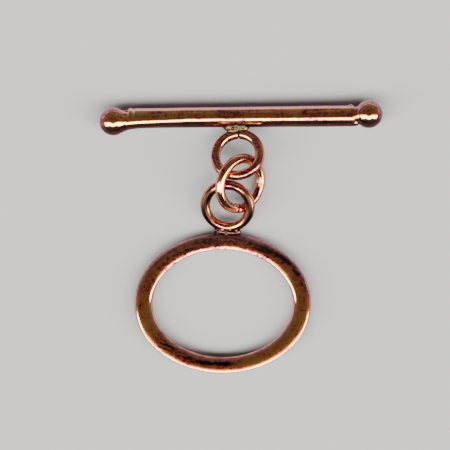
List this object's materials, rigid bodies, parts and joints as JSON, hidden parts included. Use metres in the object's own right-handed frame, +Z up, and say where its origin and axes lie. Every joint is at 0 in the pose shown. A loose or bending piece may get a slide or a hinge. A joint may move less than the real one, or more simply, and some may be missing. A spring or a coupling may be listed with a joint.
{
  "type": "toggle clasp",
  "caption": "Copper toggle clasp: a ball-ended bar and an oval loop, each with a soldered wire ring, linked by a jump ring, lying flat.",
  "frame": {"origin": "middle of the lying clasp's box, on the surface that it lies on", "axes": "+X along the bar to its right end, +Y from the loop toward the bar, +Z up from the surface"},
  "size_m": [0.0218, 0.021, 0.0034],
  "materials": {
    "bar_copper": "polished, faintly tarnished",
    "loop_copper": "polished, faintly tarnished",
    "ring_copper": "bright drawn wire"
  },
  "bodies": {
    "root": {"toggle_bar": "bar_copper", "toggle_loop": "loop_copper", "jump_ring": "ring_copper"}
  },
  "joints": []
}
